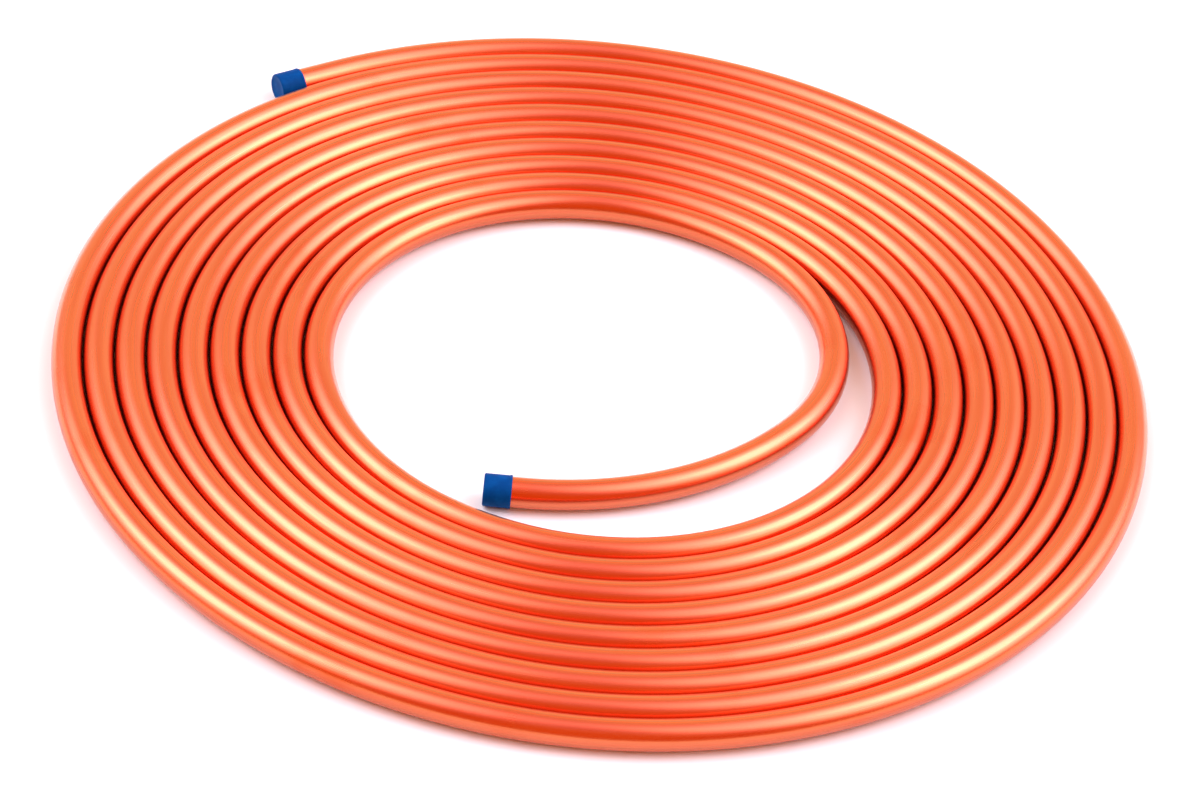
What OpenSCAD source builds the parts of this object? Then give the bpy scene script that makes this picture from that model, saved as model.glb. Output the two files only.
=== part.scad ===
// Copper tube coil: one long soft copper tube wound flat, with a push-on cap on each end.
// Millimetres, +Z up. The coil lies on its side, so its axis is vertical.
// The winding is a chain of half turns. Each is a true arc, half a pitch wider than the one
// inside it, and the arcs' centres step a quarter pitch to either side of the coil's middle,
// so neighbouring arcs meet square on the plane y = 0.

/* [Tube] */
// Outside diameter of the tube
tube_od = 19.05; // [16:0.01:23]
// Wall thickness of the tube
tube_wall = 0.89; // [0.6:0.01:1.6]

/* [Coil] */
// Radius of the tube's middle line where the free inner end leaves the winding
eye_r = 167; // [135:1:220]
// Whole turns in the winding
turns = 9; // [5:1:12]
// Clear gap between one turn and the next
turn_gap = 0.47; // [0.2:0.01:1.5]

/* [Free inner end] */
// How much tighter the free end bends than the turn it leaves
bend_tighter = 39; // [30:1:50]
// Clear gap between the inner cap and the innermost turn
tip_gap = 11.8; // [5:0.1:25]

/* [Ends] */
// Straight bare length between the tube's last bend and the inner cap
inner_bare = 3; // [1:0.5:15]
// Straight bare length between the tube's last bend and the outer cap
outer_bare = 27; // [20:0.5:40]
// Depth of tube that a cap covers
cap_depth = 16; // [10:0.5:20]
// Wall thickness of a cap's skirt
cap_wall = 0.6; // [0.4:0.05:1.5]
// Thickness of a cap's closed end
cap_end = 1.2; // [0.8:0.05:2.5]
// How far a cap's rolled rim stands out from its skirt
rim_h = 0.25; // [0.1:0.05:0.8]
// Length of a cap's rolled rim
rim_w = 1.6; // [1:0.1:3]
// Clearance between a cap's skirt and the tube
cap_gap = 0.02; // [0.01:0.01:0.1]

/* [Hidden] */

// Facets of a small circle, which is a true circle in the solids
fine = 96;

// Arc radii, the pitch and the part's place are rounded to these steps, so that the ends of
// neighbouring stretches fall on exactly the same points
radius_step = 0.05;
pitch_step = 0.04;
place_step = 0.001;
function snap(v, step) = round(v / step) * step;

// Directions with whole-number slopes: 3-4-5 for the inner end, 44-117-125 for the outer one
inner_slope = [0.6, 0.8];
outer_slope = [0.352, 0.936];

// Distance from one turn to the next, and the step of the arcs' centres
pitch = snap(tube_od + turn_gap, pitch_step);
centre_step = pitch / 4;

// Radius of half turn k, counted outwards from the free end, and its centre's place on X
leave_r = snap(eye_r, radius_step);
function half_turn_r(k) = leave_r + centre_step + k * pitch / 2;
function half_turn_x(k) = k % 2 == 0 ? -centre_step : centre_step;

// The last part turn, on the outside
half_turns = 2 * turns;
outer_r = half_turn_r(half_turns);
outer_x = half_turn_x(half_turns);

// Outside radius of a cap at its skirt and over its rim
cap_r = tube_od / 2 + cap_gap + cap_wall;
rim_r = cap_r + rim_h;

// Straight length at the tube's inner end, to the outside of the cap on it
tip_len = inner_bare + cap_depth + cap_end;

// The free end's first bend
bend_r = snap(leave_r - bend_tighter, radius_step);
bend_x = leave_r - bend_r;

// The free end's long stretch, with the radius that brings the cap's middle to this distance
// from the coil's middle: the lengths a and b place the cap for a stretch of no radius
tip_r = leave_r + pitch / 2 - tube_od / 2 - tip_gap - cap_r;
tip_a = bend_x - inner_slope[0] * tip_len;
tip_b = bend_r - inner_slope[1] * tip_len;
tip_k = 1 - inner_slope[0];
tip_m = inner_slope[1] * tip_a + tip_k * tip_b;
tip_q = pow(inner_slope[1], 2) + pow(tip_k, 2);
tip_s = sqrt(pow(tip_m, 2) - tip_q * (pow(tip_a, 2) + pow(tip_b, 2) - pow(tip_r, 2)));
sweep_r = snap((tip_m + tip_s) / tip_q, radius_step);
sweep_y = sweep_r - bend_r;

// The finished part's lowest corner sits on z = 0 and its outline is centred on the origin
x_low = half_turn_x(half_turns - 2) - half_turn_r(half_turns - 2) - tube_od / 2;
x_high = outer_x + outer_r + tube_od / 2;
y_low = -half_turn_r(half_turns - 1) - tube_od / 2;
outer_tip_len = outer_bare + cap_depth + cap_end;
y_high = outer_slope[1] * (outer_r + cap_r) + outer_slope[0] * outer_tip_len;
shift = [snap(-(x_low + x_high) / 2, place_step), snap(-(y_low + y_high) / 2, place_step), rim_r];

// Section of the tube: the copper between its outside and its bore
module tube_section() {
    difference() {
        circle(d = tube_od, $fn = fine);
        circle(d = tube_od - 2 * tube_wall, $fn = fine);
    }
}

// An arc of tube of radius r about the Z axis, from angle a over the angle sweep
module tube_arc(r, a, sweep) {
    rotate([0, 0, a])
        rotate_extrude(angle = sweep, $fn = 4 * fine)
            translate([r, 0]) tube_section();
}

// A straight length of tube that starts on the origin and runs along +Y
module straight_tube(length) {
    rotate([-90, 0, 0]) linear_extrude(height = length) tube_section();
}

// Turns what follows by an angle given as its cosine and sine
module turn_by(c, s) {
    multmatrix([[c, -s, 0, 0], [s, c, 0, 0], [0, 0, 1, 0], [0, 0, 0, 1]]) children();
}

// Everything past the plane that stands on the Z axis at the angle with cosine c and sine s
module beyond(c, s, size) {
    turn_by(c, s) translate([-size, 0, -size]) cube([2 * size, size, 2 * size]);
}

// The winding's half turns, from the eye outwards
module winding() {
    for (k = [0 : half_turns - 1])
        translate([half_turn_x(k), 0, 0])
            tube_arc(half_turn_r(k), 180 * (k % 2), 180);
}

// Puts what follows on the outer end of the last arc, with +Y running off its end
module at_outer_end() {
    translate([outer_x, 0, 0]) turn_by(outer_slope[0], outer_slope[1])
        translate([outer_r, 0, 0]) children();
}

// Puts what follows on the inner end of the long stretch, with +Y running off its end
module at_inner_end() {
    translate([bend_x, sweep_y, 0]) turn_by(-inner_slope[1], -inner_slope[0])
        translate([sweep_r, 0, 0]) mirror([0, 1, 0]) children();
}

// The last part turn on the outside, and its straight end
module outer_end() {
    translate([outer_x, 0, 0]) difference() {
        tube_arc(outer_r, 0, 90);
        beyond(outer_slope[0], outer_slope[1], 2 * outer_r);
    }
    at_outer_end() straight_tube(outer_bare + cap_depth);
}

// The free end: a bend of a quarter turn into the eye, the long stretch and a straight end
module inner_end() {
    translate([bend_x, 0, 0]) tube_arc(bend_r, -90, 90);
    translate([bend_x, sweep_y, 0]) difference() {
        tube_arc(sweep_r, 180, 90);
        beyond(inner_slope[1], inner_slope[0], 2 * sweep_r);
    }
    at_inner_end() straight_tube(inner_bare + cap_depth);
}

// One push-on cap, seated on the end of a straight tube along +Y that is bare up to its mouth
module end_cap(mouth) {
    bore_r = tube_od / 2 + cap_gap;
    seat = mouth + cap_depth;
    rotate([-90, 0, 0]) rotate_extrude($fn = fine) polygon([
        [0, seat], [bore_r, seat], [bore_r, mouth],
        [rim_r, mouth], [rim_r, mouth + rim_w], [cap_r, mouth + rim_w],
        [cap_r, seat + cap_end], [0, seat + cap_end]
    ]);
}

module tube() {
    color([0.85, 0.42, 0.26]) translate(shift) union() {
        winding();
        outer_end();
        inner_end();
    }
}

module outer_end_cap() {
    color([0.0, 0.30, 0.58]) translate(shift) at_outer_end() end_cap(outer_bare);
}

module inner_end_cap() {
    color([0.0, 0.30, 0.58]) translate(shift) at_inner_end() end_cap(inner_bare);
}

tube();
outer_end_cap();
inner_end_cap();
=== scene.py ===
"""A flat coil of soft copper tube with a push-on cap on each end, dressed for a studio picture.

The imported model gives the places. The tube is swept again as a fine mesh along the same middle
line, each cap is turned again with its rolled rim and rounded end, and both get worked finishes.
"""

import logging
import math
from dataclasses import dataclass, field
from enum import Enum
from typing import Any, Mapping, Optional, Sequence

import bmesh
import bpy
import numpy as np
from mathutils import Matrix, Vector


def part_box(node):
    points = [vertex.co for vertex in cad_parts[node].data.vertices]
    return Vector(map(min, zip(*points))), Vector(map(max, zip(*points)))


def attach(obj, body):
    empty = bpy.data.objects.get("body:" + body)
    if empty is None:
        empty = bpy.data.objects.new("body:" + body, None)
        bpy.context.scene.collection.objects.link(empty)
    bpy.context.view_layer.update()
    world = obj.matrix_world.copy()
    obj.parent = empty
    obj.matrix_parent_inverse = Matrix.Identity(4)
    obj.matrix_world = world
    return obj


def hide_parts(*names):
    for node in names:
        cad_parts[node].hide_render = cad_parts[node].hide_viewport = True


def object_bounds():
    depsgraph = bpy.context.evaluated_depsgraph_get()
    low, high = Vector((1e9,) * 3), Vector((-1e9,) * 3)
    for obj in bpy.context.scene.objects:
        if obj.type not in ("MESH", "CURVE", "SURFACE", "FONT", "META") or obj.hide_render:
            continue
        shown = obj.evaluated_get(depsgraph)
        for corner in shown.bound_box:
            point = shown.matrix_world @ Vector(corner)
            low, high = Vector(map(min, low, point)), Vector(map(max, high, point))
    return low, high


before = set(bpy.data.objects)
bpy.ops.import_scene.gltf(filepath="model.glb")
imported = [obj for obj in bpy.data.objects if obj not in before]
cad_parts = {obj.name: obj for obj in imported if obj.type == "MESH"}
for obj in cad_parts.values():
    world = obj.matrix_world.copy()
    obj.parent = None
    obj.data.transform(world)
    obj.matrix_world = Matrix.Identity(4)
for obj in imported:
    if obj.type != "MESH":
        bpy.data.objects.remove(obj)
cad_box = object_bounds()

log = logging.getLogger("copper_coil")

Colour = tuple[float, float, float]
Point = tuple[float, float]


# ---------------------------------------------------------------- mesh work, as by hand


class Bench:
    """The operators that the pieces are shaped with, each acting on the active mesh alone."""

    @staticmethod
    def clear() -> None:
        """Deselects everything and leaves edit mode."""
        if bpy.context.object and bpy.context.object.mode != "OBJECT":
            bpy.ops.object.mode_set(mode="OBJECT")
        bpy.ops.object.select_all(action="DESELECT")

    @staticmethod
    def take(piece: bpy.types.Object) -> None:
        """Makes a piece the only selected object and the active one."""
        Bench.clear()
        piece.select_set(True)
        bpy.context.view_layer.objects.active = piece

    @staticmethod
    def ring(
        name: str, radius: float, sides: int, place: Vector, turn: float, filled: bool = True
    ) -> bpy.types.Object:
        """Adds a circle whose axis is level.

        Args:
            name: the new piece's name.
            radius: the circle's radius.
            sides: how many sides it has.
            place: its centre.
            turn: the angle of its axis about Z, from +X.
            filled: whether it has a face.

        Returns:
            The new piece, left in edit mode with the circle selected.
        """
        Bench.clear()
        bpy.ops.mesh.primitive_circle_add(
            vertices=sides, radius=radius, fill_type="NGON" if filled else "NOTHING",
            location=place, rotation=(math.pi / 2, 0.0, turn + math.pi / 2),
        )
        piece = bpy.context.object
        piece.name = piece.data.name = name
        bpy.ops.object.transform_apply(location=True, rotation=True, scale=True)
        bpy.ops.object.mode_set(mode="EDIT")
        bpy.ops.mesh.select_all(action="SELECT")
        return piece

    @staticmethod
    def join(pieces: Sequence[bpy.types.Object], name: str) -> bpy.types.Object:
        """Joins pieces into one.

        Args:
            pieces: what is joined.
            name: the joined piece's name.

        Returns:
            The joined piece, in edit mode with everything selected.
        """
        Bench.take(pieces[0])
        for piece in pieces:
            piece.select_set(True)
        bpy.ops.object.join()
        joined = bpy.context.object
        joined.name = joined.data.name = name
        bpy.ops.object.mode_set(mode="EDIT")
        bpy.ops.mesh.select_all(action="SELECT")
        return joined

    @staticmethod
    def push(way: Vector) -> None:
        """Extrudes the selected face and moves it along a way."""
        bpy.ops.mesh.extrude_region_move(TRANSFORM_OT_translate={"value": way})

    @staticmethod
    def swell(ratio: float, about: Vector) -> None:
        """Scales what is selected about a point."""
        bpy.ops.transform.resize(value=(ratio, ratio, ratio), center_override=about)

    @staticmethod
    def finish(piece: bpy.types.Object, merge: float = 1e-6) -> None:
        """Merges doubled points, turns the faces outwards and smooths the curved ones.

        Args:
            piece: the piece, in edit mode.
            merge: the distance under which two points are one.
        """
        bpy.ops.mesh.select_all(action="SELECT")
        bpy.ops.mesh.remove_doubles(threshold=merge)
        bpy.ops.mesh.normals_make_consistent(inside=False)
        bpy.ops.object.mode_set(mode="OBJECT")
        Bench.take(piece)
        bpy.ops.object.shade_smooth_by_angle(angle=math.radians(40.0))


# ---------------------------------------------------------------- materials as expressions


class Signal:
    """A number that varies over a surface, combined with ordinary arithmetic."""

    def __init__(self, shop: "NodeShop", socket: bpy.types.NodeSocket) -> None:
        """Wraps an output socket of a shop's material."""
        self.shop = shop
        self.socket = socket

    def _math(self, operation: str, *values: Any) -> "Signal":
        """Adds one Math node.

        Args:
            operation: the node's operation.
            values: its inputs, signals or numbers.

        Returns:
            Its result.
        """
        return self.shop.signal("ShaderNodeMath", {"operation": operation}, dict(enumerate(values)))

    def __add__(self, other: Any) -> "Signal":
        """self + other."""
        return self._math("ADD", self, other)

    def __radd__(self, other: Any) -> "Signal":
        """other + self."""
        return self._math("ADD", other, self)

    def __sub__(self, other: Any) -> "Signal":
        """self - other."""
        return self._math("SUBTRACT", self, other)

    def __rsub__(self, other: Any) -> "Signal":
        """other - self."""
        return self._math("SUBTRACT", other, self)

    def __mul__(self, other: Any) -> "Signal":
        """self * other."""
        return self._math("MULTIPLY", self, other)

    def cosine(self) -> "Signal":
        """The cosine of an angle in radians."""
        return self._math("COSINE", self)

    def sine(self) -> "Signal":
        """The sine of an angle in radians."""
        return self._math("SINE", self)

    def window(self, low: float, high: float) -> "Signal":
        """A smooth step.

        Args:
            low: the value that becomes 0.
            high: the value that becomes 1.

        Returns:
            The eased signal, from 0 to 1.
        """
        settings = {"interpolation_type": "SMOOTHSTEP", "clamp": True}
        values = {0: self, 1: low, 2: high, 3: 0.0, 4: 1.0}
        return self.shop.signal("ShaderNodeMapRange", settings, values)


class NodeShop:
    """A material or a backdrop under construction."""

    def __init__(
        self, tree: bpy.types.NodeTree, material: Optional[bpy.types.Material] = None
    ) -> None:
        """Works on an empty node tree.

        Args:
            tree: the tree.
            material: the material that owns it, if one does.
        """
        self.tree = tree
        self.material = material

    @classmethod
    def start(cls, name: str) -> "NodeShop":
        """Starts a material with an empty node tree."""
        material = bpy.data.materials.new(name)
        material.use_nodes = True
        material.node_tree.nodes.clear()
        return cls(material.node_tree, material)

    def node(
        self, kind: str, settings: Mapping[str, Any], values: Mapping[Any, Any]
    ) -> bpy.types.Node:
        """Adds any node.

        Args:
            kind: the node's type name.
            settings: its own settings, set first.
            values: its inputs by name or number, as signals, sockets, numbers or colours.

        Returns:
            The node.
        """
        new = self.tree.nodes.new(kind)
        for key, value in settings.items():
            setattr(new, key, value)
        for key, value in values.items():
            if isinstance(value, Signal):
                value = value.socket
            if isinstance(value, bpy.types.NodeSocket):
                self.tree.links.new(value, new.inputs[key])
            else:
                new.inputs[key].default_value = value
        return new

    def signal(
        self, kind: str, settings: Mapping[str, Any], values: Mapping[Any, Any], output: Any = 0
    ) -> Signal:
        """Adds a node and wraps one of its outputs.

        Args:
            kind: the node's type name.
            settings: its settings.
            values: its inputs.
            output: the output's name or number.

        Returns:
            The wrapped output.
        """
        return Signal(self, self.node(kind, settings, values).outputs[output])

    def vector(self, x: Any, y: Any, z: Any) -> bpy.types.NodeSocket:
        """Joins three signals or numbers into a vector."""
        return self.node("ShaderNodeCombineXYZ", {}, {0: x, 1: y, 2: z}).outputs[0]

    def facing(self, way: Any, toward: Sequence[float]) -> Signal:
        """How nearly one direction agrees with another: 1 for the same, 0 for square to it."""
        settings = {"operation": "DOT_PRODUCT"}
        return self.signal("ShaderNodeVectorMath", settings, {0: way, 1: tuple(toward)}, "Value")

    def noise(
        self, where: Any, scale: float, detail: float = 3.0, roughness: float = 0.5
    ) -> Signal:
        """Cloudy noise.

        Args:
            where: the vector it is read at.
            scale: its frequency.
            detail: how many octaves it has.
            roughness: how strong the finer octaves are.

        Returns:
            The noise, about 0.5 on average.
        """
        values = {"Vector": where, "Scale": scale, "Detail": detail, "Roughness": roughness}
        return self.signal("ShaderNodeTexNoise", {}, values, "Fac")

    def mix(self, amount: Any, low: Any, high: Any) -> bpy.types.NodeSocket:
        """Blends two colours.

        Args:
            amount: 0 for the first, 1 for the second.
            low: the first colour.
            high: the second colour.

        Returns:
            The blended colour's socket.
        """
        settings = {"data_type": "RGBA", "clamp_factor": True}
        values = {0: amount, 6: paint(low), 7: paint(high)}
        return self.node("ShaderNodeMix", settings, values).outputs[2]

    def bump(self, height: Signal, strength: float, depth: float) -> bpy.types.NodeSocket:
        """Turns a height into a shading normal.

        Args:
            height: the height signal.
            strength: how much of it shows.
            depth: the real height of a step of 1, in metres.

        Returns:
            The normal's socket.
        """
        values = {"Strength": strength, "Distance": depth, "Height": height}
        return self.node("ShaderNodeBump", {}, values).outputs[0]

    def close(self, values: Mapping[str, Any]) -> bpy.types.Material:
        """Ends the material with a Principled shader that has the given inputs."""
        shader = self.node("ShaderNodeBsdfPrincipled", {}, values)
        self.node("ShaderNodeOutputMaterial", {}, {"Surface": shader.outputs[0]})
        return self.material


def paint(colour: Any) -> Any:
    """A plain colour with its alpha added; anything else unchanged."""
    return (*colour, 1.0) if isinstance(colour, tuple) and len(colour) == 3 else colour


@dataclass(frozen=True)
class DrawnCopper:
    """Bright soft copper as it comes from the drawing die and the coiling rolls, with painted shade
    on the sides where neighbouring turns face each other.
    """

    bright: Colour = (0.86, 0.126, 0.010)
    flushed: Colour = (0.91, 0.168, 0.023)
    tarnish: Colour = (0.64, 0.046, 0.003)
    # painted shade: a duller, darker red for the sides of the tube that face the next turn,
    # standing in for the shade and dimmer bounced light in the seams
    painted_seam_shade: Colour = (0.60, 0.140, 0.045)
    roughness: float = 0.24
    line_roughness: float = 0.12
    oil_weight: float = 0.95
    oil_roughness: float = 0.30
    oil_ior: float = 1.85
    relief: float = 0.22
    relief_depth: float = 0.00012
    uv_name: str = "along_tube"

    def make(self) -> bpy.types.Material:
        """Builds the finish on the tube's own map, which runs round and along it.

        Returns:
            The material.
        """
        shop = NodeShop.start("drawn_copper")
        uv = shop.node("ShaderNodeUVMap", {"uv_map": self.uv_name}, {}).outputs[0]
        split = shop.node("ShaderNodeSeparateXYZ", {}, {0: uv})
        angle = Signal(shop, split.outputs[0]) * math.tau
        along = Signal(shop, split.outputs[1])
        round_x, round_y = angle.cosine(), angle.sine()
        place = shop.node("ShaderNodeTexCoord", {}, {}).outputs["Object"]

        drawn = shop.vector(round_x * 26.0, round_y * 26.0, along * 1.3)
        lines = shop.noise(drawn, 1.0, 2.0, 0.6)
        finely_drawn = shop.vector(round_x * 75.0, round_y * 75.0, along * 6.0)
        fine_lines = shop.noise(finely_drawn, 1.0, 1.0)
        clouds = shop.noise(place, 14.0, 3.0, 0.55)
        streaks = shop.noise(shop.vector(round_x * 2.2, round_y * 2.2, along * 9.0), 1.0, 3.0)
        specks = shop.noise(place, 900.0, 2.0)
        touching = 1.0 - round_y * round_y
        rubbed = touching.window(0.93, 1.0) * lines.window(0.42, 0.62)
        handled = streaks.window(0.56, 0.74)
        dull = clouds.window(0.56, 0.80)

        flushed = shop.mix(streaks.window(0.34, 0.66), self.bright, self.flushed)
        # painted shade: the sides that face the neighbouring turns blend towards the darker seam
        # colour
        sides = shop.mix(touching.window(0.72, 0.98), flushed, self.painted_seam_shade)
        toned = shop.mix(dull * 0.30, sides, self.tarnish)
        colour = shop.mix(rubbed * 0.35 + handled * 0.08, toned, self.tarnish)
        rough = self.roughness + lines * self.line_roughness - 0.07 + dull * 0.10 + rubbed * 0.16
        height = lines * 0.6 + fine_lines * 0.4 + specks * 0.25
        return shop.close({
            "Base Color": colour,
            "Metallic": 1.0,
            "Roughness": rough + handled * 0.05,
            "Normal": shop.bump(height, self.relief, self.relief_depth),
            "Coat Weight": self.oil_weight - dull * 0.35 - touching.window(0.35, 0.90) * 0.60,
            "Coat Roughness": self.oil_roughness,
            "Coat IOR": self.oil_ior,
        })


@dataclass(frozen=True)
class CapPlastic:
    """Soft blue moulded plastic, paler where it is stretched over the tube's edge."""

    body: Colour = (0.0002, 0.052, 0.200)
    faded: Colour = (0.0004, 0.068, 0.245)
    stretched: Colour = (0.006, 0.090, 0.28)
    roughness: float = 0.42

    def make(self) -> bpy.types.Material:
        """Builds the finish.

        Returns:
            The material.
        """
        shop = NodeShop.start("cap_plastic_blue")
        place = shop.node("ShaderNodeTexCoord", {}, {}).outputs["Object"]
        clouds = shop.noise(place, 160.0, 3.0, 0.6)
        grain = shop.noise(place, 2600.0, 2.0, 0.5)
        scuffs = shop.noise(place, 520.0, 4.0, 0.75).window(0.60, 0.72)
        edge = Signal(shop, shop.node("ShaderNodeNewGeometry", {}, {}).outputs["Pointiness"])
        stressed = edge.window(0.53, 0.62)
        colour = shop.mix(clouds.window(0.35, 0.70), self.body, self.faded)
        colour = shop.mix(stressed * 0.35 + scuffs * 0.10, colour, self.stretched)
        return shop.close({
            "Base Color": colour,
            "Roughness": self.roughness + clouds * 0.10 + scuffs * 0.18,
            "Normal": shop.bump(grain * 0.5 + clouds * 1.0, 0.25, 0.00010),
            "Subsurface Weight": 0.08,
            "Subsurface Radius": (0.2, 0.6, 1.0),
            "Subsurface Scale": 0.002,
            "IOR": 1.45,
            "Specular IOR Level": 0.04,
        })


# ---------------------------------------------------------------- the tube's middle line


class Bend(Enum):
    """The kinds of stretch that the tube is made of."""

    LEAD_IN = "straight before an arc"
    ARC = "arc"
    LEAD_OUT = "straight after an arc"


@dataclass
class Stretch:
    """One straight or one arc of the tube's middle line, followed anticlockwise outwards."""

    kind: Bend
    centre: Point
    radius: float
    start: float
    sweep: float

    @property
    def length(self) -> float:
        """The stretch's length along the middle line."""
        return self.radius * self.sweep if self.kind is Bend.ARC else self.sweep


@dataclass
class Winding:
    """The sizes of the coil, in metres, as the construction has them."""

    tube_od: float = 0.01905
    tube_wall: float = 0.00089
    pitch: float = 0.01952
    eye_r: float = 0.167
    turns: int = 9
    bend_r: float = 0.128
    sweep_r: float = 0.21205
    inner_end_len: float = 0.019
    outer_end_len: float = 0.043
    sweep_slope: Point = (0.6, 0.8)
    outer_slope: Point = (0.352, 0.936)
    middle: Vector = field(init=False)

    def __post_init__(self) -> None:
        """Finds the coil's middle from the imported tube's box."""
        low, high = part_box("tube")
        half = self.tube_od / 2
        across = self.arc_radius(2 * self.turns - 2) + self.pitch / 4 + half
        down = self.arc_radius(2 * self.turns - 1) + half
        self.middle = Vector((low.x + across, low.y + down, (low.z + high.z) / 2))

    def arc_radius(self, k: int) -> float:
        """The radius of half turn k, counted from the eye."""
        return self.eye_r + self.pitch / 4 + k * self.pitch / 2

    def arc_offset(self, k: int) -> float:
        """How far the centre of half turn k is from the coil's middle, along X."""
        return -self.pitch / 4 if k % 2 == 0 else self.pitch / 4

    def stretches(self) -> list[Stretch]:
        """The whole middle line from the inner tip to the outer tip.

        Returns:
            The stretches in order, with centres in the row's frame.
        """
        mid_x, mid_y = self.middle.x, self.middle.y
        bend_x = mid_x + self.eye_r - self.bend_r
        sweep_y = mid_y + self.sweep_r - self.bend_r
        sweep_turn = math.atan2(self.sweep_slope[1], self.sweep_slope[0])
        first = math.pi * 1.5 - sweep_turn
        line = [
            Stretch(Bend.LEAD_IN, (bend_x, sweep_y), self.sweep_r, first, self.inner_end_len),
            Stretch(Bend.ARC, (bend_x, sweep_y), self.sweep_r, first, sweep_turn),
            Stretch(Bend.ARC, (bend_x, mid_y), self.bend_r, -math.pi / 2, math.pi / 2),
        ]
        for k in range(2 * self.turns):
            centre = (mid_x + self.arc_offset(k), mid_y)
            begin = math.pi * (k % 2)
            line.append(Stretch(Bend.ARC, centre, self.arc_radius(k), begin, math.pi))
        last = 2 * self.turns
        outer_turn = math.atan2(self.outer_slope[1], self.outer_slope[0])
        centre = (mid_x + self.arc_offset(last), mid_y)
        radius = self.arc_radius(last)
        line.append(Stretch(Bend.ARC, centre, radius, 0.0, outer_turn))
        line.append(Stretch(Bend.LEAD_OUT, centre, radius, outer_turn, self.outer_end_len))
        return line

    def end_len(self, outer: bool) -> float:
        """The straight length at one end of the tube, up to its tip.

        Args:
            outer: True for the outer end, False for the inner one.

        Returns:
            The length in metres.
        """
        return self.outer_end_len if outer else self.inner_end_len

    def tip(self, outer: bool) -> tuple[Vector, float]:
        """Where the tube's arc ends and its straight end starts.

        Args:
            outer: True for the outer end, False for the inner one.

        Returns:
            The point, and the angle of the direction in which the end points.
        """
        stretch = self.stretches()[-1 if outer else 0]
        place = Vector((
            stretch.centre[0] + stretch.radius * math.cos(stretch.start),
            stretch.centre[1] + stretch.radius * math.sin(stretch.start),
            self.middle.z,
        ))
        return place, stretch.start + (math.pi / 2 if outer else -math.pi / 2)


# ---------------------------------------------------------------- the pieces


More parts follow.
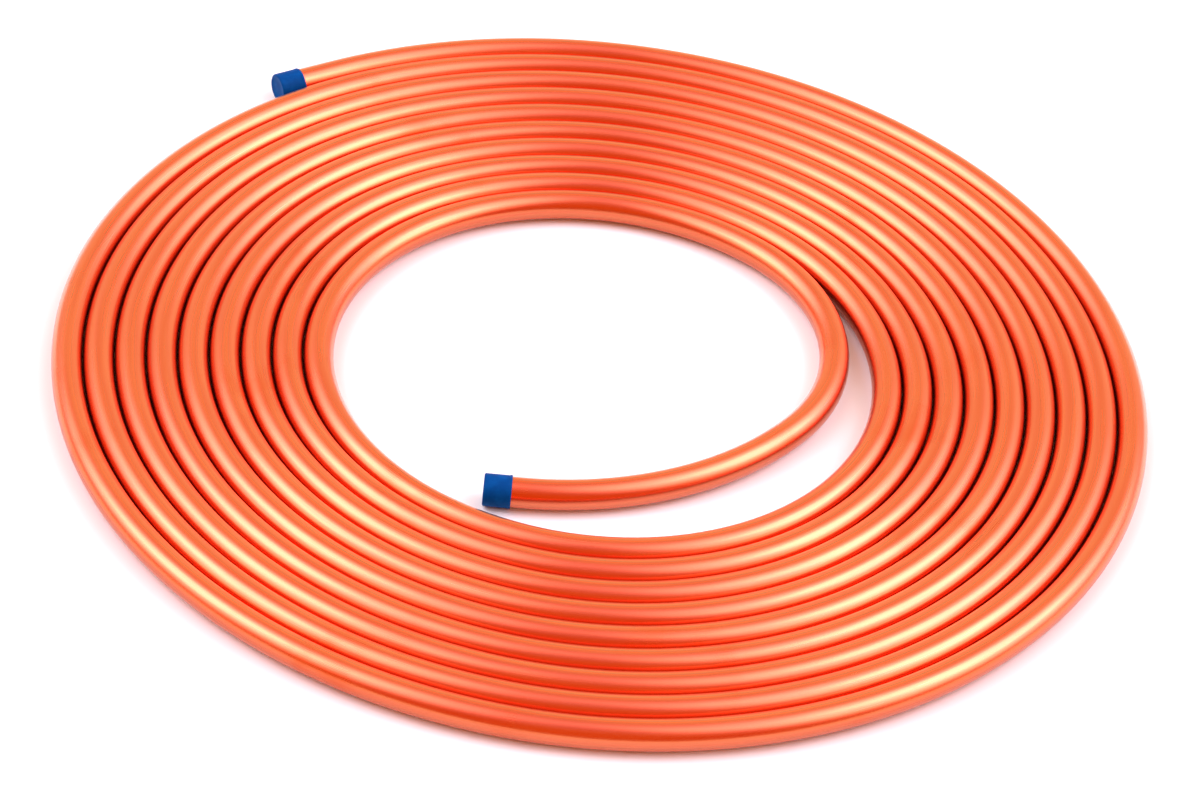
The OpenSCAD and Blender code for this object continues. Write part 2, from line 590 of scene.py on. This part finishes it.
@dataclass
class CopperTube:
    """The one long tube: its wall, its square-cut ends and the first stretch of its bore."""

    winding: Winding
    finish: DrawnCopper = field(default_factory=DrawnCopper)
    sides: int = 28
    ring_step: float = 0.0085
    bore_depth: float = 0.03
    sway: float = 0.00055
    lean: float = 0.00012
    joint_merge: float = 2e-5

    def build(self) -> bpy.types.Object:
        """Sweeps, opens and dresses the tube.

        Returns:
            The finished piece.
        """
        piece = self._sweep()
        self._open_ends(piece)
        self._settle(piece)
        self._map(piece)
        piece.data.materials.append(self.finish.make())
        return piece

    def _sweep(self) -> bpy.types.Object:
        """Makes every stretch of the tube and joins them end to end.

        Returns:
            The tube as a closed sleeve with flat ends, in edit mode.
        """
        parts = [self._stretch(stretch) for stretch in self.winding.stretches()]
        piece = Bench.join(parts, "copper_tube")
        bpy.ops.mesh.remove_doubles(threshold=self.joint_merge)
        bpy.ops.mesh.fill_holes(sides=0)
        return piece

    def _stretch(self, stretch: Stretch) -> bpy.types.Object:
        """Spins or pushes one circle along one stretch.

        Args:
            stretch: the stretch.

        Returns:
            Its open sleeve.
        """
        steps = max(3, round(stretch.length / self.ring_step))
        spoke = Vector((math.cos(stretch.start), math.sin(stretch.start), 0.0))
        way = Vector((-spoke.y, spoke.x, 0.0))
        centre = Vector((*stretch.centre, self.winding.middle.z))
        start = centre + spoke * stretch.radius
        if stretch.kind is Bend.LEAD_IN:
            start -= way * stretch.length
        radius, turn = self.winding.tube_od / 2, stretch.start + math.pi / 2
        piece = Bench.ring("stretch", radius, self.sides, start, turn, filled=False)
        if stretch.kind is Bend.ARC:
            bpy.ops.mesh.spin(steps=steps, angle=-stretch.sweep, center=centre, axis=(0, 0, 1))
        else:
            for _ in range(steps):
                Bench.push(way * (stretch.length / steps))
        return piece

    def _open_ends(self, piece: bpy.types.Object) -> None:
        """Cuts the wall and the start of the bore into both flat ends.

        Args:
            piece: the tube, in edit mode.
        """
        for outer in (False, True):
            place, turn = self.winding.tip(outer)
            way = Vector((math.cos(turn), math.sin(turn), 0.0))
            tip = place + way * self.winding.end_len(outer)
            mesh = bmesh.from_edit_mesh(piece.data)
            bpy.ops.mesh.select_all(action="DESELECT")
            bpy.ops.mesh.select_mode(type="FACE")
            for face in mesh.faces:
                near = (face.calc_center_median() - tip).length < self.winding.tube_od / 4
                face.select_set(near and abs(face.normal.dot(way)) > 0.9)
            bmesh.update_edit_mesh(piece.data)
            bpy.ops.mesh.inset(thickness=self.winding.tube_wall, depth=0.0)
            Bench.push(way * -self.bore_depth)

    def _settle(self, piece: bpy.types.Object) -> None:
        """Finishes the mesh and gives it the slight unevenness of a hand-opened coil.

        Args:
            piece: the tube, in edit mode.
        """
        Bench.finish(piece)
        waves = (("Z", self.sway, 0.21), ("X", self.lean, 0.16), ("Y", self.lean, 0.13))
        for axis, strength, size in waves:
            clouds = bpy.data.textures.new(f"unevenness_{axis}", "CLOUDS")
            clouds.noise_scale = size
            clouds.noise_depth = 1
            modifier = piece.modifiers.new(f"unevenness_{axis}", "DISPLACE")
            modifier.texture = clouds
            modifier.texture_coords = "LOCAL"
            modifier.direction = axis
            modifier.strength = strength
            bpy.ops.object.modifier_apply(modifier=modifier.name)

    def _map(self, piece: bpy.types.Object) -> None:
        """Writes the map that runs once round the tube and, in metres, along it.

        Args:
            piece: the tube, in object mode.
        """
        mesh = piece.data
        count = len(mesh.loops)
        corner = np.empty(count, np.int32)
        mesh.loops.foreach_get("vertex_index", corner)
        points = np.empty(len(mesh.vertices) * 3)
        mesh.vertices.foreach_get("co", points)
        points = points.reshape(-1, 3)
        starts = np.empty(len(mesh.polygons), np.int32)
        sizes = np.empty(len(mesh.polygons), np.int32)
        mesh.polygons.foreach_get("loop_start", starts)
        mesh.polygons.foreach_get("loop_total", sizes)
        face = np.repeat(np.arange(len(starts)), sizes)
        middles = np.zeros((len(starts), 3))
        np.add.at(middles, face, points[corner])
        middles /= sizes[:, None]
        side, owner = self._place_on_line(middles)
        spin = np.arctan2(middles[:, 2] - self.winding.middle.z, side) / math.tau
        here = points[corner]
        far, out = self._read_stretch(here, owner[face])
        turned = np.arctan2(here[:, 2] - self.winding.middle.z, out) / math.tau
        turned -= np.round(turned - spin[face])
        uv = np.column_stack([turned, far]).ravel()
        layer = mesh.uv_layers.new(name=self.finish.uv_name)
        layer.data.foreach_set("uv", uv)

    def _place_on_line(self, points: np.ndarray) -> tuple[np.ndarray, np.ndarray]:
        """Finds which stretch each point belongs to.

        Args:
            points: the points, one row each.

        Returns:
            The distance to the line's outer side, and the stretch's number.
        """
        best = np.full(len(points), np.inf)
        owner = np.zeros(len(points), np.int32)
        for number in range(len(self.winding.stretches())):
            numbers = np.full(len(points), number)
            miss = self._read_stretch(points, numbers, clamp=True)[1]
            closer = miss < best
            best = np.where(closer, miss, best)
            owner = np.where(closer, number, owner)
        return self._read_stretch(points, owner)[1], owner

    def _read_stretch(
        self, points: np.ndarray, owner: np.ndarray, clamp: bool = False
    ) -> tuple[np.ndarray, np.ndarray]:
        """Reads the length and the side of points on the stretches that own them.

        Args:
            points: the points, one row each.
            owner: each point's stretch number.
            clamp: True to return how far each point is from its stretch, ends included.

        Returns:
            The length along the line, and the distance to the outer side or from the stretch.
        """
        line = self.winding.stretches()
        begin = np.concatenate([[0.0], np.cumsum([s.length for s in line])])[owner]
        centre = np.array([s.centre for s in line])[owner]
        radius = np.array([s.radius for s in line])[owner]
        start = np.array([s.start for s in line])[owner]
        sweep = np.array([s.sweep for s in line])[owner]
        arc = np.array([s.kind is Bend.ARC for s in line])[owner]
        inner = owner == 0
        rel = points[:, :2] - centre
        angle = np.arctan2(rel[:, 1], rel[:, 0])
        turn = (angle - start + math.pi / 2) % math.tau - math.pi / 2
        way = np.column_stack([-np.sin(start), np.cos(start)])
        push = (rel * way).sum(1) + np.where(inner, sweep, 0.0)
        across = (rel * np.column_stack([np.cos(start), np.sin(start)])).sum(1) - radius
        along = np.where(arc, turn * radius, push)
        side = np.where(arc, np.hypot(rel[:, 0], rel[:, 1]) - radius, across)
        if not clamp:
            return begin + along, side
        length = np.where(arc, sweep * radius, sweep)
        miss = np.maximum(0.0, -along) + np.maximum(0.0, along - length)
        return begin + along, np.hypot(side, miss)


@dataclass
class EndCap:
    """A push-on cap: a thin skirt with a rolled rim, and a closed end with a rounded edge."""

    node: str
    winding: Winding
    outer: bool
    depth: float = 0.016
    wall: float = 0.0006
    end: float = 0.0012
    rim_h: float = 0.00025
    rim_w: float = 0.0016
    gap: float = 0.00002
    edge: float = 0.0011
    edge_steps: int = 6
    draft: float = 0.00006
    dish: float = 0.00022
    sides: int = 72

    def profile(self) -> list[Point]:
        """The cap's outline from the middle of its inner end to the middle of its closed end.

        Returns:
            Points as (distance along the axis, radius), the mouth being at 0.
        """
        bore = self.winding.tube_od / 2 + self.gap
        skirt = bore + self.wall
        rim = skirt + self.rim_h
        top = self.depth + self.end
        taper = skirt - self.draft
        shoulder = top - self.edge
        points = [(self.depth, bore), (0.0004, bore), (0.0001, bore + 0.0001)]
        points += [(0.0, bore + 0.3 * self.wall), (0.0001, rim - 0.00012), (0.0003, rim - 0.00003)]
        points += [(0.0005, rim), (self.rim_w - 0.0004, rim), (self.rim_w - 0.00015, rim - 0.00006)]
        points += [(self.rim_w + 0.0001, skirt + 0.00004), (self.rim_w + 0.0004, skirt)]
        points += [(top * 0.55, skirt - self.draft / 2), (shoulder - 0.0002, taper)]
        for step in range(self.edge_steps + 1):
            angle = math.pi / 2 * step / self.edge_steps
            drop = self.edge * (1 - math.cos(angle))
            points.append((shoulder + self.edge * math.sin(angle), taper - drop))
        points += [(top, skirt * 0.80), (top - 0.00012, skirt * 0.77)]
        points += [(top - self.dish, skirt * share) for share in (0.74, 0.35, 0.16)]
        return points

    def build(self, material: bpy.types.Material) -> bpy.types.Object:
        """Draws the cap out of one circle, station by station, and dresses it.

        Args:
            material: the caps' plastic.

        Returns:
            The finished piece.
        """
        place, turn = self.winding.tip(self.outer)
        way = Vector((math.cos(turn), math.sin(turn), 0.0))
        mouth = place + way * (self.winding.end_len(self.outer) - self.depth)
        stations = self.profile()
        here, radius = stations[0]
        piece = Bench.ring(self.node + "_moulded", radius, self.sides, mouth + way * here, turn)
        for there, next_radius in stations[1:]:
            Bench.push(way * (there - here))
            Bench.swell(next_radius / radius, mouth + way * there)
            here, radius = there, next_radius
        Bench.finish(piece, merge=1e-7)
        piece.data.materials.append(material)
        return piece


# ---------------------------------------------------------------- the studio


@dataclass
class Softbox:
    """A square soft light that looks at the coil."""

    name: str
    azimuth: float
    elevation: float
    size: float
    power: float
    distance: float = 2.6
    colour: Colour = (0.97, 0.85, 1.14)

    def way(self) -> Vector:
        """The direction from the coil to the light."""
        level = math.cos(self.elevation)
        return Vector((
            level * math.cos(self.azimuth), level * math.sin(self.azimuth), math.sin(self.elevation)
        ))

    def hang(self, aim: Vector) -> None:
        """Hangs the light where it looks at a point."""
        data = bpy.data.lights.new(self.name, "AREA")
        data.shape = "SQUARE"
        data.size = self.size
        data.energy = self.power
        data.color = self.colour
        lamp = bpy.data.objects.new(self.name, data)
        bpy.context.scene.collection.objects.link(lamp)
        lamp.location = aim + self.way() * self.distance
        lamp.rotation_euler = (-self.way()).to_track_quat("-Z", "Y").to_euler()


@dataclass
class Studio:
    """The pale floor, the lights and the camera."""

    winding: Winding
    view_turn: float = math.radians(-145.38)
    view_rise: float = math.radians(39.02)
    view_roll: float = math.radians(6.92)
    view_distance: float = 136.4
    view_aim: Point = (0.19, -0.95)
    focal_ratio: float = 4236.0 / 1197.0
    floor_size: float = 14.0
    sky_front: Colour = (0.75, 0.205, 0.006)
    sky_back: Colour = (1.05, 0.78, 0.44)
    sky_side: Colour = (3.2, 2.65, 3.4)
    back_spread: Point = (0.10, 0.95)
    side_spread: Point = (0.68, 1.0)
    box_size: float = 1.4
    floor_colour: Colour = (0.80, 0.92, 0.82)
    floor_roughness: float = 0.9

    def build(self) -> None:
        """Sets up everything that isn't part of the object."""
        self._camera()
        self._floor()
        self._sky()
        aim = Vector((self.winding.middle.x, self.winding.middle.y, 0.0))
        for light in self._softboxes():
            light.hang(aim)

    def _softboxes(self) -> tuple[Softbox, Softbox]:
        """The two lights, one on each side of the coil."""
        right = self.view_turn + math.pi / 2
        return (
            self._softbox("softbox_right", right, 5.0, 44.0, 17.0),
            self._softbox("softbox_left", right, 183.0, 47.0, 13.0),
        )

    def _softbox(
        self, name: str, right: float, turn: float, rise: float, power: float
    ) -> Softbox:
        """Makes one light.

        Args:
            name: its name.
            right: the direction to the camera's right, in radians.
            turn: how far round from there it hangs, in degrees.
            rise: how far above level it hangs, in degrees.
            power: its power in watts.

        Returns:
            The light, not yet hung.
        """
        azimuth = right + math.radians(turn)
        return Softbox(name, azimuth, math.radians(rise), self.box_size, power)

    def _camera(self) -> None:
        """Places the camera and makes it the scene's own."""
        data = bpy.data.cameras.new("camera")
        data.sensor_width = 36.0
        data.lens = data.sensor_width * self.focal_ratio
        data.clip_end = 100.0
        camera = bpy.data.objects.new("camera", data)
        bpy.context.scene.collection.objects.link(camera)
        toward = Vector((math.cos(self.view_turn), math.sin(self.view_turn), 0.0))
        right = Vector((-toward.y, toward.x, 0.0))
        pitch = self.winding.pitch
        aim = self.winding.middle - Vector((0.0, 0.0, self.winding.tube_od / 2))
        aim += (right * self.view_aim[0] - toward * self.view_aim[1]) * pitch
        way = toward * math.cos(self.view_rise) + Vector((0.0, 0.0, math.sin(self.view_rise)))
        camera.location = aim + way * self.view_distance * pitch
        level = (-way).to_track_quat("-Z", "Y").to_matrix().to_4x4()
        camera.rotation_euler = (level @ Matrix.Rotation(self.view_roll, 4, "Z")).to_euler()
        bpy.context.scene.camera = camera

    def _floor(self) -> None:
        """Lays the pale floor at the coil's lowest point."""
        Bench.clear()
        place = (0.0, 0.0, cad_box[0][2])
        bpy.ops.mesh.primitive_plane_add(size=self.floor_size, location=place)
        floor = bpy.context.object
        floor.name = "pale_floor"
        bpy.ops.object.transform_apply(location=True, rotation=True, scale=True)
        shop = NodeShop.start("pale_floor")
        finish = {"Base Color": paint(self.floor_colour), "Roughness": self.floor_roughness}
        floor.data.materials.append(shop.close(finish))

    def _sky(self) -> None:
        """Lights the studio from all round: brightest about each softbox, dimmest in front."""
        world = bpy.data.worlds.new("studio")
        bpy.context.scene.world = world
        world.use_nodes = True
        world.node_tree.nodes.clear()
        shop = NodeShop(world.node_tree)
        way = shop.node("ShaderNodeTexCoord", {}, {}).outputs["Generated"]
        back = (-math.cos(self.view_turn), -math.sin(self.view_turn), 0.0)
        behind = shop.facing(way, back).window(*self.back_spread)
        glow = shop.mix(behind, self.sky_front, self.sky_back)
        for light in self._softboxes():
            beside = shop.facing(way, light.way()).window(*self.side_spread)
            glow = shop.mix(beside, glow, self.sky_side)
        backdrop = shop.node("ShaderNodeBackground", {}, {"Color": glow})
        shop.node("ShaderNodeOutputWorld", {}, {"Surface": backdrop.outputs[0]})


def stand_for(piece: bpy.types.Object, node: str) -> None:
    """Lets a modelled piece stand for its CAD node.

    Args:
        piece: the modelled piece.
        node: the CAD node's name.
    """
    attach(piece, "root")
    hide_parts(node)
    log.info("%s: %d faces", piece.name, len(piece.data.polygons))


def main() -> None:
    """Builds the tube, the caps and the studio."""
    logging.basicConfig(level=logging.INFO, format="%(message)s")
    bpy.context.scene.view_settings.view_transform = "Standard"
    winding = Winding()
    stand_for(CopperTube(winding).build(), "tube")
    plastic = CapPlastic().make()
    for node, outer in (("outer_end_cap", True), ("inner_end_cap", False)):
        stand_for(EndCap(node, winding, outer).build(plastic), node)
    Studio(winding).build()


if __name__ == "__main__":
    main()
